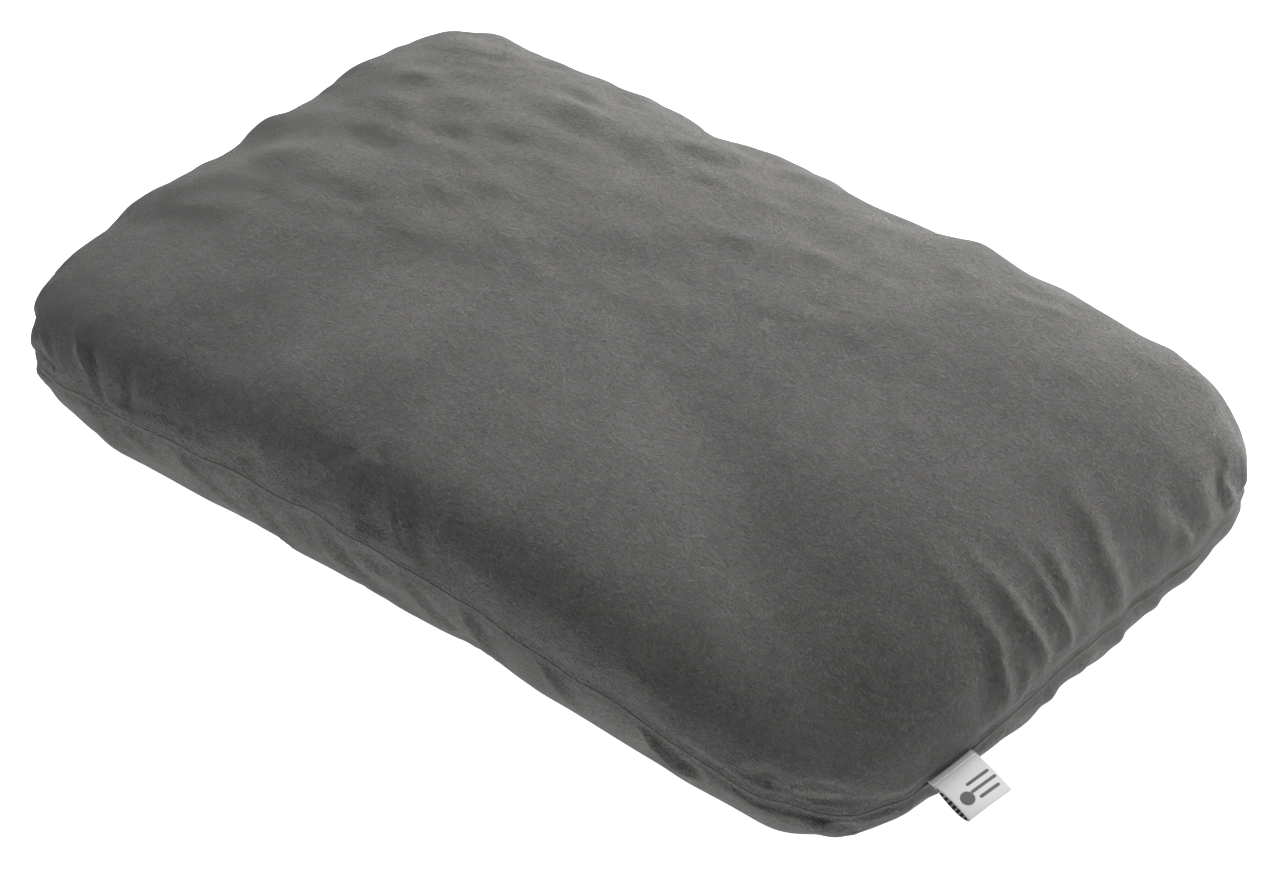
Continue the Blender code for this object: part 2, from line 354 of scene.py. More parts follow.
def grid_loop(shape):
    """The numbers of a grid's outer points, counterclockwise from above."""
    number = grid_numbers(shape)
    return np.concatenate([number[:-1, 0], number[-1, :-1], number[:0:-1, -1], number[0, :0:-1]])


def grid_faces(shape, side):
    """Quads between a grid's points, facing out."""
    number = grid_numbers(shape)
    corners = [number[:-1, :-1], number[1:, :-1], number[1:, 1:], number[:-1, 1:]]
    faces = np.stack(corners, axis=-1).reshape(-1, 4)
    return faces if side == TOP else faces[:, ::-1]


def band_faces(first, second):
    """Quads between two closed rings of point numbers, facing left of the first ring's run."""
    return np.stack([first, np.roll(first, -1), np.roll(second, -1), second], axis=-1)


def envelope_faces(shape):
    """The faces of two grids, the top's numbers first, and of the band that joins their edges."""
    size = shape[0] * shape[1]
    loop = grid_loop(shape)
    band = band_faces(loop + size, loop)
    return np.concatenate([grid_faces(shape, TOP), grid_faces(shape, BOTTOM) + size, band])


class Panel:
    """One panel's grid: its points, and each point's distance from the seam over the cloth."""

    def __init__(self, side, heading, share):
        self.side = side
        self.heading = heading
        self.headings = np.linspace(-TABLE_END, TABLE_END, TABLE_STEPS)
        self.turns = np.linspace(0, 1, TABLE_STEPS)
        sections = wall_at(*np.meshgrid(self.headings, self.turns, indexing="ij"), side)
        steps = np.linalg.norm(np.diff(sections, axis=1), axis=2)
        lengths = np.concatenate([np.zeros((TABLE_STEPS, 1)), np.cumsum(steps, axis=1)], axis=1)
        self.length = lengths[:, -1]
        self.typical = (lengths / lengths[:, -1:]).mean(axis=0)
        self.points = wall_at(heading, np.interp(share, self.typical, self.turns), side)
        self.depth = (1 - share) * np.interp(heading, self.headings, self.length)
        self.points += seam_wave(heading) * np.exp(-((self.depth / WAVE_REACH) ** 2))[..., None]

    def place(self, heading, depth):
        """The point of the smooth wall at this heading, this far over the cloth from the seam."""
        share = 1 - depth / np.interp(heading, self.headings, self.length)
        return wall_at(heading, np.interp(share, self.typical, self.turns), self.side)

    def normals(self):
        along = np.gradient(self.points, axis=0)
        across = np.gradient(self.points, axis=1)
        normal = np.cross(along, across) * self.side
        return normal / np.maximum(np.linalg.norm(normal, axis=-1, keepdims=True), TINY)

    def raise_by(self, height):
        """Moves the cloth out by these heights, but not at the seam or where it rests."""
        free = smooth(self.depth, 0, RELIEF_START)
        if self.side == BOTTOM:
            free = free * smooth(self.points[..., 2], *RELIEF_HEIGHTS)
        self.points = self.points + self.normals() * (height * free)[..., None]


# ---- Folds and lumps ----
# A fold is a ridge, or a hollow where its height is below 0. Each of its places is a heading in degrees
# and a distance from the seam in millimetres. Its height and its half width are in millimetres too.
Fold = namedtuple("Fold", "side places height width")

FOLDS = (
    # Long folds that fan from the right end, over the top
    Fold(TOP, ((-17.0, 5), (-17.1, 17), (-15.8, 28), (-16.4, 46), (-16.0, 70)), 1.9, 4.0),
    Fold(TOP, ((-13.8, 4), (-12.6, 12), (-11.5, 20)), 1.2, 3.0),
    Fold(TOP, ((-8.9, 6), (-9.4, 17), (-10.2, 28), (-10.1, 46), (-10.5, 80)), 2.2, 4.0),
    Fold(TOP, ((-3.8, 4), (-4.0, 14), (-4.4, 24), (-3.3, 36), (-2.5, 60)), 2.0, 3.2),
    Fold(TOP, ((-1.5, 20), (-0.2, 31), (1.3, 40), (2.5, 52)), 1.6, 4.5),
    Fold(TOP, ((7.4, 6), (8.4, 28), (12.6, 47), (15.0, 62)), 1.7, 6.0),
    Fold(TOP, ((18.5, 18), (22.2, 42)), 1.0, 9.0),
    Fold(TOP, ((21.7, 8), (22.9, 20)), 1.4, 4.0),
    Fold(TOP, ((32.7, 7), (33.2, 20)), 1.2, 4.0),
    # Creases at the left corner and in the middle of the front
    Fold(TOP, ((-122.6, 3), (-123.8, 13), (-128.1, 29), (-131.0, 42)), 1.8, 3.5),
    Fold(TOP, ((-118.2, 3), (-119.1, 14), (-121.0, 28)), -1.4, 3.5),
    Fold(TOP, ((-129.6, 8), (-132.1, 16), (-134.0, 26)), 1.2, 3.0),
    Fold(TOP, ((-85.0, 8), (-87.4, 19), (-88.5, 32)), 2.0, 3.5),
    Fold(TOP, ((-86.7, 7), (-88.3, 16), (-90.0, 26)), 1.5, 2.6),
    Fold(TOP, ((-87.0, 30), (-92.0, 55), (-99.0, 78)), 1.2, 12.0),
    Fold(TOP, ((-49.8, 2), (-49.8, 8), (-50.0, 15)), -1.4, 2.5),
    # Slanting puckers under the front of the seam
    Fold(BOTTOM, ((-119.6, 3), (-116.4, 11), (-112.0, 25)), 1.3, 5.0),
    Fold(BOTTOM, ((-112.0, 3), (-109.2, 14), (-106.0, 30)), 2.4, 5.5),
    Fold(BOTTOM, ((-104.0, 4), (-102.6, 18), (-101.0, 35)), 2.6, 5.0),
    Fold(BOTTOM, ((-96.0, 3), (-92.6, 17), (-89.0, 35)), 2.9, 5.5),
    Fold(BOTTOM, ((-86.0, 3), (-83.0, 16), (-80.0, 30)), 2.4, 4.5),
    Fold(BOTTOM, ((-78.9, 1), (-76.8, 14), (-74.0, 30)), 3.0, 4.0),
    Fold(BOTTOM, ((-71.0, 1), (-68.7, 10), (-66.0, 24)), 2.3, 4.0),
    Fold(BOTTOM, ((-61.4, 2), (-57.7, 8), (-54.0, 14)), 3.0, 3.0),
    Fold(BOTTOM, ((-58.5, 1), (-57.0, 5), (-55.5, 14), (-54.0, 26)), -1.8, 3.5),
    Fold(BOTTOM, ((-45.0, 2), (-42.0, 12), (-39.0, 22)), 1.5, 6.0),
    # Puckers under the right end
    Fold(BOTTOM, ((-30.0, 2), (-26.0, 10), (-22.0, 20)), 1.3, 5.0),
    Fold(BOTTOM, ((-15.6, 1), (-15.2, 6), (-14.8, 14)), -2.5, 4.0),
    Fold(BOTTOM, ((-8.0, 2), (-6.0, 10), (-4.0, 24)), 1.2, 4.5),
    Fold(BOTTOM, ((0.0, 2), (1.1, 10), (4.0, 24)), 1.1, 5.0),
    Fold(BOTTOM, ((8.0, 2), (9.9, 10), (13.0, 24)), 1.2, 4.0),
    Fold(BOTTOM, ((16.0, 2), (18.0, 10), (21.0, 24)), 1.0, 4.0),
    Fold(BOTTOM, ((25.0, 1), (27.0, 10)), -1.5, 4.0),
)

# A bulge, or a hollow where its height is below 0, in the same units. Its depth is how far it is from
# the seam.
Bulge = namedtuple("Bulge", "side heading depth height width")

BULGES = (
    # Round the back and the left end
    Bulge(TOP, 137, 41, 4.5, 24),
    Bulge(TOP, 151, 34, 2.5, 14),
    Bulge(TOP, 170, 30, 3.0, 18),
    Bulge(TOP, 196, 26, 2.5, 20),
    Bulge(TOP, 111, 43, -3.5, 20),
    Bulge(TOP, 72, 40, 2.5, 22),
    Bulge(TOP, 50, 38, 2.0, 20),
    # Broad ones that round the top off towards the front
    Bulge(TOP, 180, 185, 4.5, 75),
    Bulge(TOP, -150, 70, -3.5, 40),
    Bulge(TOP, -118, 52, -6.5, 40),
    Bulge(TOP, -94, 50, -5.0, 38),
    Bulge(TOP, -76, 58, -3.0, 36),
    # The uneven underside of the front
    Bulge(BOTTOM, -123, 20, 2.0, 12),
    Bulge(BOTTOM, -113, 22, -2.0, 10),
    Bulge(BOTTOM, -100, 24, 2.5, 12),
    Bulge(BOTTOM, -88, 22, -2.0, 10),
    Bulge(BOTTOM, -80, 28, -2.5, 18),
    Bulge(BOTTOM, -72, 20, 1.5, 11),
    Bulge(BOTTOM, -60, 20, -2.5, 9),
    Bulge(BOTTOM, -48, 18, 2.0, 12),
    Bulge(BOTTOM, -10, 20, 2.0, 12),
    Bulge(BOTTOM, 8, 22, 2.5, 12),
    Bulge(BOTTOM, 22, 20, -2.0, 9),
)


def fold_relief(panel, fold):
    """The height that a fold adds to each of a panel's points: a ridge between slight hollows."""
    headings, depths = np.array(fold.places).T
    knots = np.linspace(0, 1, len(fold.places))
    share = np.linspace(0, 1, PATH_STEPS)
    path = panel.place(np.radians(np.interp(share, knots, headings)),
                       np.interp(share, knots, depths) * MILLIMETRE)
    distances = np.linalg.norm(panel.points[..., None, :] - path, axis=-1)
    nearest = share[distances.argmin(axis=-1)]
    strength = smooth(nearest, *FOLD_RISE) * (1 - smooth(nearest, *FOLD_FALL))
    across = distances.min(axis=-1) / (fold.width * MILLIMETRE)
    section = (1 - FOLD_HOLLOWS * across**2) * np.exp(-across**2)
    return fold.height * MILLIMETRE * strength * section


def back_folds(side, chooser):
    """Small puckers along the back and the left end."""
    folds = []
    heading, last = BACK_HEADINGS
    while heading < last:
        lean = chooser.uniform(*BACK_LEAN)
        length = chooser.uniform(*BACK_LENGTH)
        places = ((heading, BACK_START), (heading + lean / 2, length / 2), (heading + lean, length))
        height = chooser.uniform(*BACK_HEIGHT)
        width = chooser.uniform(*BACK_WIDTH)
        folds.append(Fold(side, places, height, width))
        heading += chooser.uniform(*BACK_SPACING)
    return folds


def lump_relief(panel, chooser):
    """Small lumps of foam pieces, high at the back left and low elsewhere."""
    relief = np.zeros(panel.depth.shape)
    flat = panel.points.reshape(-1, 3)
    for _ in range(LUMP_COUNT):
        centre = flat[chooser.integers(len(flat))]
        size = chooser.uniform(*LUMP_SIZE)
        height = chooser.normal(0, LUMP_HEIGHT)
        strength = LUMPS_ALL_OVER + smooth(centre[1] - LUMP_LEAN * centre[0], *LUMP_EDGE)
        distance = np.linalg.norm((panel.points - centre) / LUMP_STRETCH, axis=-1)
        relief += height * strength * np.exp(-(distance / size) ** 2)
    return relief


def bulge_relief(panel):
    """The height that the panel's bulges add."""
    relief = np.zeros(panel.depth.shape)
    for bulge in BULGES:
        if bulge.side == panel.side:
            centre = panel.place(radians(bulge.heading), bulge.depth * MILLIMETRE)
            distance = np.linalg.norm(panel.points - centre, axis=-1) / (bulge.width * MILLIMETRE)
            relief += bulge.height * MILLIMETRE * np.exp(-distance**2)
    return relief


# ---- Cloth simulation of the whole envelope ----

def new_object(name, points, faces):
    mesh = bpy.data.meshes.new(name)
    mesh.from_pydata(np.asarray(points).tolist(), [], [list(map(int, face)) for face in faces])
    mesh.validate()
    mesh.shade_smooth()
    thing = bpy.data.objects.new(name, mesh)
    bpy.context.scene.collection.objects.link(thing)
    return thing


def read_points(mesh):
    points = np.empty(len(mesh.vertices) * 3)
    mesh.vertices.foreach_get("co", points)
    return points.reshape(-1, 3)


def weigh(thing, name, weights):
    """A vertex group of these weights."""
    group = thing.vertex_groups.new(name=name)
    for number in np.nonzero(weights > LEAST_WEIGHT)[0]:
        group.add([int(number)], float(weights[number]), "REPLACE")
    return name


def blur(field, rounds):
    """A field over the grid, with each value replaced by its neighbours' mean this many times."""
    for _ in range(rounds):
        padded = np.pad(field, ((1, 1), (1, 1), (0, 0)), mode="edge")
        field = (padded[:-2, 1:-1] + padded[2:, 1:-1] + padded[1:-1, :-2] + padded[1:-1, 2:]) / 4
    return field


def refine(field):
    """A coarse grid's field with a step between each two, both ways."""
    for _ in range(2):
        finer = np.empty((2 * len(field) - 1, *field.shape[1:]))
        finer[::2] = field
        finer[1::2] = (field[:-1] + field[1:]) / 2
        field = finer.swapaxes(0, 1)
    return field


def envelope_cloth(panels, shape):
    """The whole envelope as a cloth object, with its weights for what is held and what is slack."""
    coarse = [panel.points[::COARSE_STEP, ::COARSE_STEP].reshape(-1, 3) for panel in panels]
    depths = [panel.depth[::COARSE_STEP, ::COARSE_STEP].ravel() for panel in panels]
    envelope = new_object("envelope", np.concatenate(coarse), envelope_faces(shape))
    resting = [np.zeros(len(coarse[0])), 1 - smooth(coarse[1][:, 2], *REST_HEIGHTS)]
    held = [np.maximum(depth == 0, rest) for depth, rest in zip(depths, resting)]
    slack = [SLACK_WEIGHT * (1 - smooth(depth, SLACK_START, SLACK_END[panel.side]))
             for panel, depth in zip(panels, depths)]

    cloth = envelope.modifiers.new("cloth", "CLOTH")
    cloth.settings.vertex_group_mass = weigh(envelope, "held", np.concatenate(held))
    cloth.settings.vertex_group_shrink = weigh(envelope, "slack", np.concatenate(slack))
    cloth.settings.shrink_min = 0
    cloth.settings.shrink_max = -SLACK
    cloth.settings.quality = 6
    cloth.settings.mass = 0.2
    cloth.settings.air_damping = 2
    cloth.settings.tension_stiffness = 30
    cloth.settings.compression_stiffness = 30
    cloth.settings.shear_stiffness = 10
    cloth.settings.bending_stiffness = 0.08
    cloth.settings.use_pressure = True
    cloth.settings.uniform_pressure_force = SIM_PRESSURE
    cloth.settings.effector_weights.gravity = 0
    cloth.collision_settings.use_collision = False
    cloth.collision_settings.use_self_collision = False
    cloth.point_cache.frame_start = 1
    cloth.point_cache.frame_end = SIM_FRAMES
    return envelope


def pucker(panels):
    """Blows the envelope up with extra cloth beside its held seam, and keeps the small puckers."""
    shape = panels[0].depth[::COARSE_STEP, ::COARSE_STEP].shape
    envelope = envelope_cloth(panels, shape)
    start = read_points(envelope.data)
    scene = bpy.context.scene
    for step in range(1, SIM_FRAMES + 1):
        scene.frame_set(step)
    blown = envelope.evaluated_get(bpy.context.evaluated_depsgraph_get())
    moves = (read_points(blown.data) - start).reshape(2, *shape, 3)
    scene.frame_set(1)
    bpy.data.objects.remove(envelope)

    for move, panel in zip(moves, panels):
        move = refine(move - blur(move, SWELL_ROUNDS))
        distance = np.linalg.norm(move, axis=-1, keepdims=True)
        move *= MOVE_CAP * np.tanh(distance / MOVE_CAP) / np.maximum(distance, TINY)
        free = smooth(panel.depth, 0, PUCKER_START) * (1 - smooth(panel.depth, *PUCKER_END[panel.side]))
        panel.points = panel.points + move * free[..., None]


# ---- Covers ----

def closing_share(heading):
    """1 along the opening that is stitched shut at the back, 0 elsewhere."""
    seam = seam_at(heading)
    half = CLOSING_LENGTH / 2
    return (1 - smooth(np.abs(seam[..., 0]), half, half + CLOSING_BLEND)) * (seam[..., 1] > 0)


def label_heading():
    """The label's place as a heading from the middle of the unit outline."""
    return np.arctan(signed_power(tan(LABEL_ANGLE), 2 / CORNER_POWER))


def label_share(heading):
    """1 along the stretch of seam that holds the label, 0 elsewhere."""
    distance = np.linalg.norm(seam_at(heading) - seam_at(label_heading()), axis=-1)
    return 1 - smooth(distance, LABEL_WIDTH / 2, LABEL_WIDTH / 2 + LABEL_BLEND)


def edge_rings(heading, side):
    """The rings that carry a cover's edge into the groove and on inside."""
    seam, outward = seam_at(heading) + seam_wave(heading), outward_at(heading)
    closing, label = closing_share(heading), label_share(heading)
    rings = []
    for groove, lip in zip(GROOVE_RINGS, CLOSING_RINGS):
        out = groove[0] + (lip[0] - groove[0]) * closing
        up = groove[1] + (lip[1] - groove[1]) * closing + (RIBBON + GAP) * label
        ring = seam + outward * out[:, None]
        ring[:, 2] += side * up
        rings.append(ring)
    return rings


def finished_mesh(thing):
    """Puts the modifiers' result in place of the object's mesh."""
    evaluated = thing.evaluated_get(bpy.context.evaluated_depsgraph_get())
    mesh = bpy.data.meshes.new_from_object(evaluated)
    thing.modifiers.clear()
    thing.data = mesh
    return thing


def cover(name, panel):
    """A panel of cloth: the wall, then its edge rolled into the seam, as thick as the cloth is."""
    ring = grid_loop(panel.depth.shape)
    points = [panel.points.reshape(-1, 3)]
    faces = [grid_faces(panel.depth.shape, panel.side)]
    count = panel.depth.size
    for edge in edge_rings(panel.heading.ravel()[ring], panel.side):
        following = count + np.arange(len(ring))
        points.append(edge)
        count += len(ring)
        band = band_faces(following, ring) if panel.side == TOP else band_faces(ring, following)
        faces.append(band)
        ring = following
    thing = new_object(name, np.concatenate(points), np.concatenate(faces))
    thick = thing.modifiers.new("thick", "SOLIDIFY")
    thick.thickness = CLOTH
    thick.offset = -1
    return finished_mesh(thing)


# ---- Foam ----

def foam_points(panel):
    """A panel's points drawn in behind its cloth, and further in beside the seam's allowances."""
    seamness = 1 - smooth(panel.depth, 0, FOAM_SEAM_REACH)
    outward = outward_at(panel.heading)
    inset = FOAM_INSET + (FOAM_SEAM_INSET - FOAM_INSET) * seamness
    direction = panel.normals() * (1 - seamness)[..., None] + outward * seamness[..., None]
    return (panel.points - direction * inset[..., None])[::COARSE_STEP, ::COARSE_STEP]


def foam(panels):
    """The shredded foam as one soft mass that fills the covers."""
    insides = [foam_points(panel) for panel in panels]
    points = np.concatenate([inside.reshape(-1, 3) for inside in insides])
    return new_object("shredded_foam", points, envelope_faces(insides[0].shape))


# ---- Closing stitches ----

def tube_object(name, runs, radius):
    """Round threads along these runs of points, as one mesh."""
    curve = bpy.data.curves.new(name, "CURVE")
    curve.dimensions = "3D"
    curve.bevel_depth = radius
    curve.bevel_resolution = 2
    curve.use_fill_caps = True
    for run in runs:
        spline = curve.splines.new("POLY")
        spline.points.add(len(run) - 1)
        for place, point in zip(spline.points, run):
            place.co = (*point, 1)
    guide = bpy.data.objects.new(name + "_guide", curve)
    bpy.context.scene.collection.objects.link(guide)
    evaluated = guide.evaluated_get(bpy.context.evaluated_depsgraph_get())
    mesh = bpy.data.meshes.new_from_object(evaluated)
    bpy.data.objects.remove(guide)
    mesh.name = name
    mesh.shade_smooth()
    thing = bpy.data.objects.new(name, mesh)
    bpy.context.scene.collection.objects.link(thing)
    return thing


def closing_stitches(name, side):
    """The stitches that show on one face of the pinched lip."""
    pitch = STITCH_LENGTH + STITCH_SPACE
    length = CLOSING_LENGTH - STITCH_LENGTH
    count = int(length / pitch)
    back = even_headings(radians(45), radians(135), TABLE_HEADINGS)
    seam = seam_at(back) + seam_wave(back)
    outward = outward_at(back)
    runs = []
    for number in range(count):
        first = -length / 2 + number * pitch
        run = []
        for share in STITCH_SHARES:
            x = first + share * STITCH_LENGTH
            nearest = np.argmin(np.abs(seam[:, 0] - x))
            point = seam[nearest] + outward[nearest] * STITCH_OUT
            arch = STITCH_BURY * (sin(pi * share) ** 0.5 - 1)
            point[2] += side * (STITCH_UP + STITCH_RADIUS + arch)
            run.append(point)
        runs.append(run)
    return tube_object(name, runs, STITCH_RADIUS)


# ---- Label ----

def label_frame():
    """A frame at the label's root: X along the seam to the front, Y outward, Z up."""
    heading = label_heading()
    outward = Vector(outward_at(heading))
    along = -Vector(seam_run(heading)).normalized()
    turn = Matrix((along, outward, along.cross(outward))).transposed().to_4x4()
    root = LIP + 2 * GAP + RIBBON
    at_root = Matrix.Translation(Vector(seam_at(heading))) @ turn @ Matrix.Translation((0, root, 0))
    return at_root @ Matrix.Rotation(-LABEL_DROOP, 4, "X")


def label_mesh():
    """The ribbon folded back on itself. Its two print attributes are places on it, in metres."""
    share = np.linspace(0, 1, LABEL_STEPS + 1)
    across = np.linspace(-0.5, 0.5, LABEL_COLUMNS + 1)
    way, side = np.meshgrid(share, across, indexing="ij")
    out = LABEL_LENGTH / 2 * (1 - np.cos(2 * pi * way))
    reach = out / LABEL_LENGTH
    opening = LABEL_OPENING / 2 * (1 + LABEL_FLARE * side)
    up = opening * np.sin(2 * pi * way) * (1 - LABEL_BELLY + LABEL_BELLY * np.sin(pi * reach))
    along = side * LABEL_WIDTH + LABEL_SKEW * smooth(way, *LABEL_SKEW_SPAN) * reach
    turns, start = LABEL_CURL_WAVE
    curl = LABEL_CURL * np.sin(turns * side + start) * reach
    points = np.stack([along, out, up + curl], axis=-1).reshape(-1, 3)
    thing = new_object("label_ribbon", points, grid_faces(way.shape, BOTTOM))
    print_places = {"print_along": side * LABEL_WIDTH, "print_out": np.where(way < 0.5, out, -out)}
    for name, values in print_places.items():
        attribute = thing.data.attributes.new(name, "FLOAT", "POINT")
        attribute.data.foreach_set("value", values.ravel().astype(np.float32))
    thing.matrix_world = label_frame()
    return thing


# ---- Materials ----

class Nodes:
    """A short way to build a material's nodes."""

    def __init__(self, name):
        self.material = bpy.data.materials.new(name)
        self.material.use_nodes = True
        self.tree = self.material.node_tree
        self.shader = self.tree.nodes["Principled BSDF"]

    def add(self, kind, **settings):
        node = self.tree.nodes.new(kind)
        for name, value in settings.items():
            setattr(node, name, value)
        return node

    def link(self, source, target):
        self.tree.links.new(source, target)

    def place(self, scale=(1, 1, 1), turn=(0, 0, 0)):
        """The point on the object, in metres, stretched and turned."""
        coordinates = self.add("ShaderNodeTexCoord")
        mapping = self.add("ShaderNodeMapping")
        mapping.inputs["Scale"].default_value = scale
        mapping.inputs["Rotation"].default_value = turn
        self.link(coordinates.outputs["Object"], mapping.inputs["Vector"])
        return mapping.outputs["Vector"]

    def noise(self, vector, scale, detail=2.0, roughness=0.5, distortion=0.0):
        node = self.add("ShaderNodeTexNoise")
        node.inputs["Scale"].default_value = scale
        node.inputs["Detail"].default_value = detail
        node.inputs["Roughness"].default_value = roughness
        node.inputs["Distortion"].default_value = distortion
        self.link(vector, node.inputs["Vector"])
        return node.outputs["Fac"]

    def spread(self, value, low, high, to_low=0.0, to_high=1.0):
        """The value, from low to high, spread over another range."""
        node = self.add("ShaderNodeMapRange")
        ends = {"From Min": low, "From Max": high, "To Min": to_low, "To Max": to_high}
        for name, number in ends.items():
            node.inputs[name].default_value = number
        self.link(value, node.inputs["Value"])
        return node.outputs["Result"]

    def math(self, operation, first, second=None, clamp=False):
        node = self.add("ShaderNodeMath", operation=operation, use_clamp=clamp)
        for socket, value in zip(node.inputs, (first, second)):
            if isinstance(value, (int, float)):
                socket.default_value = value
            elif value is not None:
                self.link(value, socket)
        return node.outputs[0]

    def mix(self, share, first, second):
        """A colour between two others."""
        node = self.add("ShaderNodeMix", data_type="RGBA")
        self.link(share, node.inputs["Factor"])
        for name, value in (("A", first), ("B", second)):
            socket = [s for s in node.inputs if s.name == name and s.type == "RGBA"][0]
            if isinstance(value, tuple):
                socket.default_value = (*value, 1)
            else:
                self.link(value, socket)
        return [s for s in node.outputs if s.type == "RGBA"][0]

    def bump(self, layers):
        """Bumps on top of each other: (height, distance) pairs."""
        normal = None
        for height, distance in layers:
            node = self.add("ShaderNodeBump")
            node.inputs["Strength"].default_value = 1
            node.inputs["Distance"].default_value = distance
            self.link(height, node.inputs["Height"])
            if normal is not None:
                self.link(normal, node.inputs["Normal"])
            normal = node.outputs["Normal"]
        self.link(normal, self.shader.inputs["Normal"])

    def colour(self, value):
        self.link(value, self.shader.inputs["Base Color"])

    def set(self, **values):
        for name, value in values.items():
            self.shader.inputs[name.replace("_", " ")].default_value = value


def suede(name, seed):
    """Brushed polyester: short nap that lies in swirls, and clouds where it was stroked."""
    nodes = Nodes(name)
    here = nodes.place(turn=(0.3 * seed, 0.2, 0.5 * seed))
    clouds = nodes.noise(here, CLOUDS, detail=3, roughness=0.6)
    swirls = nodes.noise(here, SWIRLS, detail=2, distortion=1.2)
    slanted = nodes.place(scale=(1, 2.0, 1.5), turn=(0.2, 0.1, 0.7))
    crinkles = nodes.noise(slanted, CRINKLES, detail=2, roughness=0.6, distortion=2.6)
    fibres = nodes.noise(slanted, FIBRES, detail=4, roughness=0.75, distortion=1.5)

    # Each texture's share of the way from the dark nap to the light one
    shade = nodes.spread(clouds, 0.3, 0.7, 0, 0.25)
    shade = nodes.math("ADD", shade, nodes.spread(swirls, 0.3, 0.7, 0, 0.2))
    shade = nodes.math("ADD", shade, nodes.spread(crinkles, 0.35, 0.6, 0, 0.2))
    shade = nodes.math("ADD", shade, nodes.spread(fibres, 0.4, 0.6, 0, 0.45), clamp=True)
    nodes.colour(nodes.mix(shade, DARK_NAP, LIGHT_NAP))
    nodes.link(nodes.spread(fibres, 0.2, 0.8, 0.80, 0.97), nodes.shader.inputs["Roughness"])
    nodes.bump(((swirls, SWIRL_BUMP), (crinkles, CRINKLE_BUMP), (fibres, FIBRE_BUMP)))
    nodes.set(Specular_IOR_Level=0.1, Sheen_Weight=0.42, Sheen_Roughness=0.42)
    nodes.set(Sheen_Tint=(*NAP_SHEEN, 1))
    return nodes.material


def thread_material():
    """Twisted polyester thread."""
    nodes = Nodes("grey_thread")
    twist = nodes.add("ShaderNodeTexWave", wave_type="BANDS", bands_direction="DIAGONAL")
    twist.inputs["Scale"].default_value = TWISTS
    nodes.link(nodes.place(), twist.inputs["Vector"])
    nodes.colour(nodes.mix(twist.outputs["Fac"], DARK_THREAD, LIGHT_THREAD))
    nodes.bump(((twist.outputs["Fac"], TWIST_BUMP),))
    nodes.set(Roughness=0.55, Sheen_Weight=0.2)
    return nodes.material


def foam_material():
    """Shredded foam: crumbs of a few pale shades with open cells."""
    nodes = Nodes("shredded_foam")
    crumbs = nodes.add("ShaderNodeTexVoronoi")
    crumbs.inputs["Scale"].default_value = CRUMBS
    nodes.link(nodes.place(), crumbs.inputs["Vector"])
    cells = nodes.noise(nodes.place(), CELLS, detail=3)
    tint = nodes.spread(crumbs.outputs["Distance"], 0, 0.7)
    nodes.colour(nodes.mix(tint, LIGHT_FOAM, DARK_FOAM))
    nodes.bump(((crumbs.outputs["Distance"], CRUMB_BUMP), (cells, CELL_BUMP)))
    nodes.set(Roughness=0.95)
    return nodes.material


def ribbon_weave(nodes):
    """Satin ribbon: fine yarns both ways in its bump, and slubs in its bump and gloss."""
    along = nodes.add("ShaderNodeAttribute", attribute_name="print_along").outputs["Fac"]
    out = nodes.add("ShaderNodeAttribute", attribute_name="print_out").outputs["Fac"]
    warp = nodes.math("SINE", nodes.math("MULTIPLY", along, 2 * pi / WARP_PITCH))
    weft = nodes.math("SINE", nodes.math("MULTIPLY", out, 2 * pi / WEFT_PITCH))
    yarns = nodes.math("ADD", warp, nodes.math("MULTIPLY", weft, WEFT_SHARE))
    slub = nodes.noise(nodes.place(scale=SLUB_STRETCH), SLUBS)
    nodes.bump(((yarns, YARN_BUMP), (slub, SLUB_BUMP)))
    nodes.link(nodes.spread(slub, 0.3, 0.7, 0.32, 0.46), nodes.shader.inputs["Roughness"])
    nodes.set(Sheen_Weight=0.25, Specular_IOR_Level=0.55)
    return along, out


def line_distance(nodes, along, out, middle, place, half):
    """How far it is to a line of this half length that runs along the seam."""
    sideways = nodes.math("ABSOLUTE", nodes.math("SUBTRACT", along, middle))
    beyond = nodes.math("MAXIMUM", nodes.math("SUBTRACT", sideways, half), 0.0)
    across = nodes.math("SUBTRACT", out, place)
    squares = [nodes.math("MULTIPLY", distance, distance) for distance in (beyond, across)]
    return nodes.math("SQRT", nodes.math("ADD", *squares))


def inked(nodes, distance, radius):
    """1 within this radius and 0 outside it, with a soft edge."""
    return nodes.spread(distance, radius - EDGE_SOFT, radius + EDGE_SOFT, 1, 0)


def printed_ribbon():
    """The label's outer face: a plain disc and three plain bars."""
    nodes = Nodes("printed_ribbon")
    along, out = ribbon_weave(nodes)
    ink = inked(nodes, line_distance(nodes, along, out, *DISC_PLACE, 0.0), DISC_RADIUS)
    for bar in BARS:
        drawn = inked(nodes, line_distance(nodes, along, out, *bar), BAR_RADIUS)
        ink = nodes.math("MAXIMUM", ink, drawn)
    nodes.colour(nodes.mix(ink, RIBBON_WHITE, INK))
    return nodes.material


def inner_ribbon():
    """The label's inner face: a row of dark dashes near its front edge."""
    nodes = Nodes("inner_ribbon")
    along, out = ribbon_weave(nodes)
    edge = nodes.spread(along, DASH_PLACE - EDGE_SOFT, DASH_PLACE + EDGE_SOFT)
    dashes = nodes.math("SINE", nodes.math("MULTIPLY", out, 2 * pi / DASH_LENGTH))
    ink = nodes.math("MULTIPLY", edge, nodes.spread(dashes, *DASH_EDGES))
    nodes.colour(nodes.mix(ink, RIBBON_WHITE, INK))
    return nodes.material


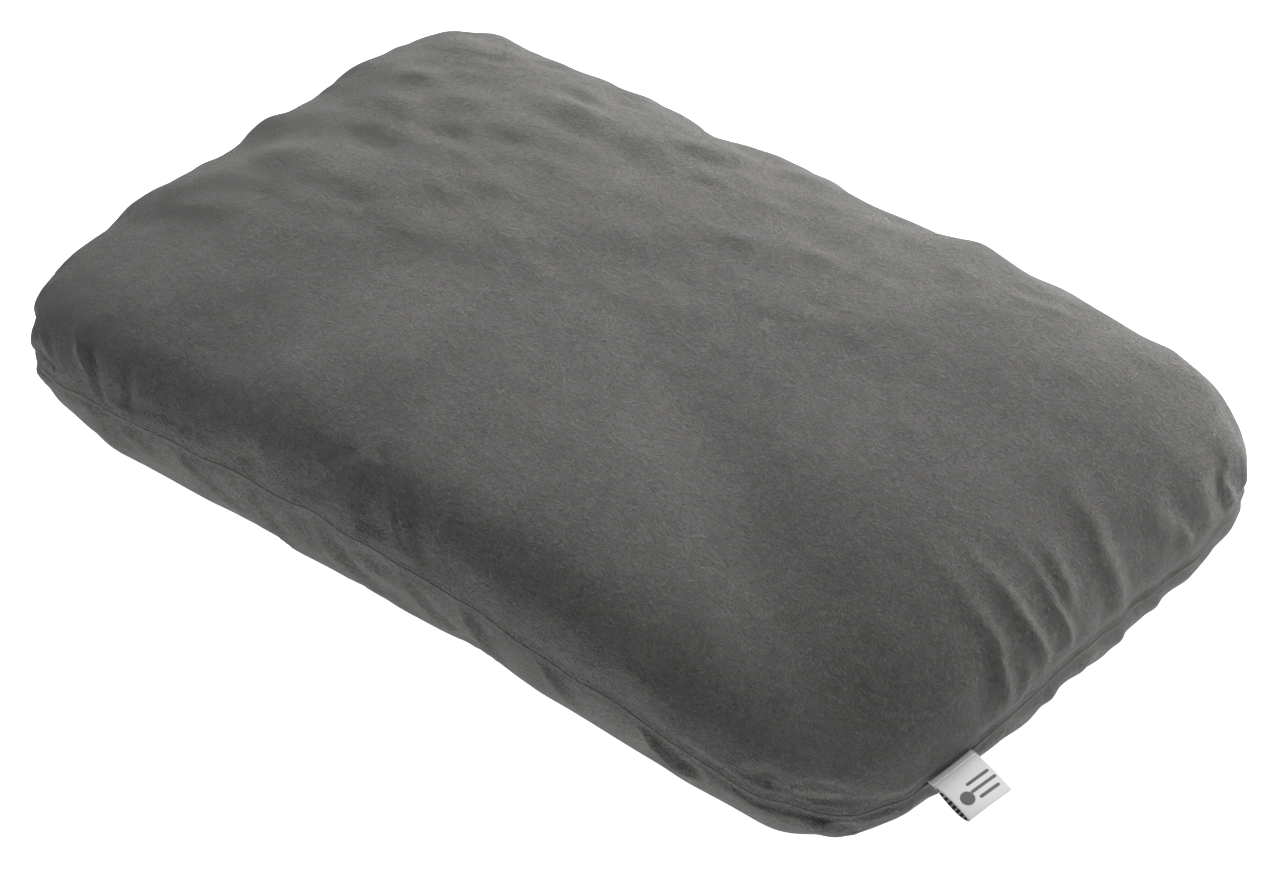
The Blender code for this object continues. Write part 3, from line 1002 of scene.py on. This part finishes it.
def plain_ribbon():
    """The same ribbon without its print, for the two ends inside the seam."""
    nodes = Nodes("plain_ribbon")
    slub = nodes.noise(nodes.place(scale=SLUB_STRETCH), SLUBS)
    nodes.colour(nodes.mix(slub, RIBBON_SHADE, RIBBON_WHITE))
    nodes.bump(((slub, SLUB_BUMP),))
    nodes.set(Roughness=0.42, Sheen_Weight=0.25)
    return nodes.material


def dress(thing, *materials):
    """Gives a thing these materials and no others."""
    thing.data.materials.clear()
    for material in materials:
        thing.data.materials.append(material)


# ---- Camera, floor and lights ----

def towards(azimuth, elevation):
    """The direction from the target to something seen from this side."""
    return Vector((sin(azimuth) * cos(elevation), -cos(azimuth) * cos(elevation), sin(elevation)))


def make_camera():
    camera = bpy.data.cameras.new("camera")
    camera.lens = FOCAL_LENGTH
    camera.sensor_width = 36
    camera.shift_x, camera.shift_y = VIEW_SHIFT
    camera.clip_start = 0.05
    holder = bpy.data.objects.new("camera", camera)
    back = towards(VIEW_AZIMUTH, VIEW_ELEVATION)
    holder.location = Vector(VIEW_TARGET) + back * VIEW_DISTANCE
    holder.rotation_euler = back.to_track_quat("Z", "Y").to_euler()
    bpy.context.scene.collection.objects.link(holder)
    bpy.context.scene.camera = holder


def area_light(name, azimuth, elevation, distance, size, power):
    light = bpy.data.lights.new(name, "AREA")
    light.shape = "DISK"
    light.size = size
    light.energy = power
    holder = bpy.data.objects.new(name, light)
    back = towards(radians(azimuth), radians(elevation))
    holder.location = Vector(VIEW_TARGET) + back * distance
    holder.rotation_euler = back.to_track_quat("Z", "Y").to_euler()
    holder.visible_camera = False
    bpy.context.scene.collection.objects.link(holder)


def make_floor():
    """A white floor that glows, so that it stays white under the pillow's shadow."""
    signs = (-1, -1), (1, -1), (1, 1), (-1, 1)
    corners = [(x * FLOOR_REACH, y * FLOOR_REACH, -FLOOR_DROP) for x, y in signs]
    floor = new_object("floor", corners, [(0, 1, 2, 3)])
    nodes = Nodes("floor")
    grain = nodes.noise(nodes.place(), FLOOR_GRAIN)
    nodes.colour(nodes.mix(grain, FLOOR_DARK, FLOOR_LIGHT))
    nodes.set(Roughness=0.8, Specular_IOR_Level=0.1, Emission_Color=WHITE, Emission_Strength=FLOOR_GLOW)
    dress(floor, nodes.material)


def make_lights():
    """A pale sky and two soft lights, one low at the back and one high behind the pillow."""
    world = bpy.data.worlds.new("studio")
    world.use_nodes = True
    sky = world.node_tree.nodes["Background"]
    sky.inputs["Color"].default_value = WHITE
    sky.inputs["Strength"].default_value = SKY_STRENGTH
    bpy.context.scene.world = world
    area_light("back", azimuth=180, elevation=20, distance=1.4, size=0.9, power=35)
    area_light("above", azimuth=155, elevation=62, distance=0.9, size=0.6, power=7.5)
    bpy.context.scene.view_settings.view_transform = "Standard"


# ---- Assembly ----

def shaped_panels():
    """The two panels with their relief and puckers."""
    heading, share = surface_grid()
    panels = Panel(TOP, heading, share), Panel(BOTTOM, heading, share)
    chooser = np.random.default_rng(LUMP_SEED)
    for panel in panels:
        relief = lump_relief(panel, chooser) + bulge_relief(panel)
        for fold in (*FOLDS, *back_folds(panel.side, chooser)):
            if fold.side == panel.side:
                relief = relief + fold_relief(panel, fold)
        panel.raise_by(relief)
    pucker(panels)
    bottom = panels[1].points
    bottom[..., 2] = np.maximum(bottom[..., 2], 0)
    return panels


def blend_halves(thing):
    """Puts the piece's placement into its mesh."""
    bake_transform(thing)


def add_covers(top_panel, bottom_panel):
    top = cover("top_cover", top_panel)
    dress(top, suede("top_cloth", 1))
    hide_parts("top_panel")
    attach(top, "upper_half")

    bottom = cover("bottom_cover", bottom_panel)
    dress(bottom, suede("bottom_cloth", 2))
    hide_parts("bottom_panel")
    blend_halves(bottom)


def add_filling(panels):
    filling = foam(panels)
    dress(filling, foam_material())
    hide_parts("foam_fill")
    blend_halves(filling)


def add_threads():
    """The stitches of the opening, and the CAD threads that lie inside the seam."""
    thread = thread_material()
    for name, side, node in (("closing_stitches_top", TOP, "closing_needle_thread"),
                             ("closing_stitches_bottom", BOTTOM, "closing_bobbin_thread")):
        stitches = closing_stitches(name, side)
        dress(stitches, thread)
        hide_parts(node)
        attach(stitches, "upper_half")
    for node in ("seam_needle_thread", "seam_bobbin_thread"):
        dress(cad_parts[node], thread)


def add_label():
    """The printed loop, and the CAD ends of its ribbon that lie inside the seam."""
    label = label_mesh()
    dress(label, printed_ribbon(), inner_ribbon())
    thick = label.modifiers.new("thick", "SOLIDIFY")
    thick.thickness = RIBBON
    thick.offset = 1
    thick.material_offset = 1
    finished_mesh(label)
    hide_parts("label_loop")
    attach(label, "label")
    dress(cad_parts["label_tail"], plain_ribbon())


make_camera()
make_floor()
make_lights()
shaped = shaped_panels()
add_covers(*shaped)
add_filling(shaped)
add_threads()
add_label()
